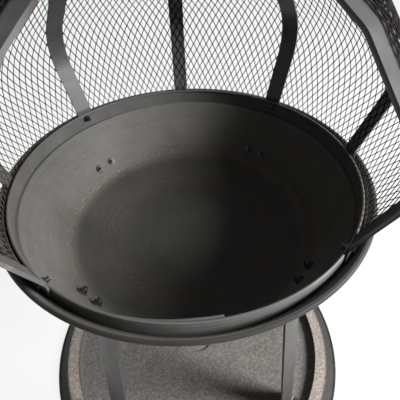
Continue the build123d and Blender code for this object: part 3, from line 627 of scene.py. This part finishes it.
# %% [markdown]
# ## Collar
# The collar is one strip bent into a ring, with its top edge rolled over a groove. Its ends lap
# at the front, where the inner end climbs out from behind the top edge. One spiral strip would
# leave an upright step at its outer end. So the ring is spun closed, and the inner end is a
# tongue of its own behind it, spun through a part turn and then lowered where it should hide.

# %% Collar ring
COLLAR_T = 0.002
HEM_R = 0.002
collar_foot = collar_low.z - COLLAR_TOP


def collar_outline(foot, inset=0.0):
    """Strip from its foot up the inside, over the rolled edge and the groove, and down."""
    hem = [(COLLAR_R - HEM_R * (1 - cos(a)), -HEM_R * (1 - sin(a)))
           for a in (radians(250 - 300 * k / 12) for k in range(13))]
    groove = [(COLLAR_R - 0.0013, -0.0042), (COLLAR_R - 0.0004, -0.0050), (COLLAR_R, -0.0058)]
    inside = [(COLLAR_R - COLLAR_T, foot), (COLLAR_R - COLLAR_T, -0.0046)]
    return [(r - inset, z) for r, z in inside + hem + groove + [(COLLAR_R, foot)]]


collar = spun_piece("rolled_collar", spun(collar_outline(collar_foot)), rolled)
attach(collar, "screen")
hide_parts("collar")

# %% Tongue of the lap
TONGUE_START, TONGUE_END = radians(-112), radians(-86.5)
TONGUE_DROP = 0.008
TONGUE_CLIMB = radians(22)
TONGUE_SEAT = 0.82
BEHIND = 2 * HEM_R + 0.0002
tongue_strip = spun(collar_outline(collar_foot + TONGUE_DROP, BEHIND), TONGUE_START,
                    TONGUE_END - TONGUE_START, 32)
ends = [e for e in tongue_strip.edges if e.is_boundary]
bmesh.ops.holes_fill(tongue_strip, edges=ends, sides=0)
for v in tongue_strip.verts:
    climbed = (atan2(v.co.y, v.co.x) - TONGUE_START) / TONGUE_CLIMB
    v.co.z -= TONGUE_DROP * (1 - min(climbed, TONGUE_SEAT))
tongue = spun_piece("collar_tongue", tongue_strip, rolled)
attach(tongue, "screen")

# %% [markdown]
# ## Nuts and threads
# The bolts come through the bowl's wall, the collar and the hoop with their threads inward. All
# of them are one size, so one nut with one threaded tip is made at the origin and copied to each
# place. A nut is a spun ring whose sides are pushed out to a hexagon, which leaves its ends round
# and chamfered. A thread is a ridge that climbs as it is spun.

# %% One nut and its bolt's threaded tip
NUT_HALF = 0.00494
NUT_H = 0.0045
BORE = 0.00305
BORE_LIP, LIP_DEPTH = 0.0002, 0.0004
chamfer = NUT_HALF * (1 / cos(pi / 6) - 1) * 0.55
nut = spun([(BORE, 0.0), (NUT_HALF, 0.0), (NUT_HALF, chamfer), (NUT_HALF, NUT_H - chamfer),
            (NUT_HALF, NUT_H), (BORE + BORE_LIP, NUT_H), (BORE, NUT_H - LIP_DEPTH)], steps=24)
for v in nut.verts:
    if v.co.xy.length > BORE + BORE_LIP * 2 and chamfer / 2 < v.co.z < NUT_H - chamfer / 2:
        off_flat = (degrees(atan2(v.co.y, v.co.x)) + 30) % 60 - 30
        v.co.xy = v.co.xy / cos(radians(off_flat))

THREAD_R, THREAD_DEPTH, PITCH = 0.00318, 0.00022, 0.001
THREAD_START = NUT_H + 0.0006
TURNS, TURN_STEPS = 3, 20
ridge = [(THREAD_R - THREAD_DEPTH, -PITCH / 2), (THREAD_R, -PITCH / 7), (THREAD_R, PITCH / 7),
         (THREAD_R - THREAD_DEPTH, PITCH / 2)]
thread = spun([(r, THREAD_START + z) for r, z in ridge], turn=2 * pi * TURNS,
              steps=TURNS * TURN_STEPS, closed=False, climb=PITCH / TURN_STEPS)

fastener = bpy.data.meshes.new("nut_and_tip")
thread.to_mesh(fastener)
nut.from_mesh(fastener)
nut.to_mesh(fastener)
nut.free()
thread.free()
print("nut and tip faces", len(fastener.polygons))

# %% [markdown]
# The places are read from the solids: a nut and its bolt share a line, and their two middles
# give its direction. A node holds several nuts, so its mesh is first split into islands.

# %% Copy them to every place
def middles(node_name):
    """Middle of each separate solid in a node."""
    bm = bmesh.new()
    bm.from_mesh(nodes[node_name].data)
    bmesh.ops.remove_doubles(bm, verts=bm.verts, dist=1e-6)
    left = set(bm.verts)
    found = []
    while left:
        island, to_visit = [], [left.pop()]
        while to_visit:
            v = to_visit.pop()
            island.append(v)
            for w in (e.other_vert(v) for e in v.link_edges):
                if w in left:
                    left.remove(w)
                    to_visit.append(w)
        low = Vector([min(v.co[i] for v in island) for i in range(3)])
        high = Vector([max(v.co[i] for v in island) for i in range(3)])
        found.append((low + high) / 2)
    bm.free()
    return found


def fasteners(name, nut_node, bolt_node, body):
    """Detailed nuts and threaded tips in place of the plain nuts."""
    bm = bmesh.new()
    bolts = middles(bolt_node)
    for place in middles(nut_node):
        bolt = min(bolts, key=lambda middle: (middle - place).length)
        along = (place - bolt).normalized()
        turned = along.to_track_quat("Z", "Y").to_matrix().to_4x4()
        placed = fastener.copy()
        placed.transform(Matrix.Translation(place - along * NUT_H / 2) @ turned)
        bm.from_mesh(placed)
        bpy.data.meshes.remove(placed)
    bmesh.ops.recalc_face_normals(bm, faces=bm.faces)
    piece = new_piece(name, bm, black_steel)
    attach(piece, body)
    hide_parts(nut_node)


fasteners("threaded_leg_nuts", "leg_nuts", "leg_bolts", "base")
fasteners("threaded_collar_nuts", "collar_nuts", "collar_bolts", "screen")
fasteners("threaded_hoop_nuts", "hoop_nuts", "hoop_bolts", "screen")
bpy.data.meshes.remove(fastener)

# %% [markdown]
# ## Studio
# A pale floor and world keep the surroundings white, but if they also lit the object its dark
# paint would look washed out. A Light Path node tells the rays apart. The camera, mirrors and
# glass see plain white, and everything else gets a dim world and an ordinary pale floor that
# keeps the object's shadow.

# %% White for some rays only
WHITE = (1.0, 1.0, 1.0)


def seen_white(tree):
    """1 for rays from the camera, a mirror or glass, and 0 for all others."""
    path = tree.nodes.new("ShaderNodeLightPath").outputs
    seen = maths(tree, "MAXIMUM", path["Is Camera Ray"], path["Is Glossy Ray"])
    return maths(tree, "MAXIMUM", seen, path["Is Transmission Ray"])


def mix_shaders(tree, share, low, high, output):
    """Low shader where the share is 0, high where it is 1, into the tree's output node."""
    mix = tree.nodes.new("ShaderNodeMixShader")
    for socket, value in zip(mix.inputs, (share, low.outputs[0], high.outputs[0])):
        tree.links.new(value, socket)
    tree.links.new(mix.outputs[0], tree.nodes[output].inputs["Surface"])


# %% World
DIM = 0.03
world = bpy.data.worlds.new("studio")
bpy.context.scene.world = world
world.use_nodes = True
tree = world.node_tree
dim = tree.nodes["Background"]
white = tree.nodes.new("ShaderNodeBackground")
for background, strength in ((dim, DIM), (white, 1.0)):
    feed(tree, WHITE, background.inputs["Color"])
    feed(tree, strength, background.inputs["Strength"])
mix_shaders(tree, seen_white(tree), dim, white, "World Output")
print("world", world.name)

# %% Floor
FLOOR_R = 4.0
FLOOR_GLOW = 0.85
PALE = (0.86, 0.86, 0.86)
pale, tree, shader, place = finish("pale_floor")
dress(tree, shader, PALE, 0.9)
glow = tree.nodes.new("ShaderNodeEmission")
mix_shaders(tree, maths(tree, "MULTIPLY", seen_white(tree), FLOOR_GLOW), shader, glow,
            "Material Output")
bm = bmesh.new()
bmesh.ops.create_circle(bm, cap_ends=True, segments=96, radius=FLOOR_R)
floor = new_piece("floor", bm, pale)

# %% [markdown]
# One large round lamp stands high at the right and a little to the front. Its size makes the
# shadows soft. The dim world leaves the sides that it doesn't reach in shade.

# %% Lamp
LAMP_PLACE = (2.56, -0.98, 1.78)
LAMP_POWER = 225
LAMP_SIZE = 1.3
light = bpy.data.lights.new("key_right", "AREA")
light.energy = LAMP_POWER
light.shape = "DISK"
light.size = LAMP_SIZE
lamp = bpy.data.objects.new("key_right", light)
lamp.location = LAMP_PLACE
towards = Vector((0, 0, COLLAR_TOP)) - Vector(LAMP_PLACE)
lamp.rotation_euler = towards.to_track_quat("-Z", "Y").to_euler()
bpy.context.scene.collection.objects.link(lamp)
bpy.context.scene.view_settings.view_transform = "Standard"
print("lamp", light.name, LAMP_POWER, "W")
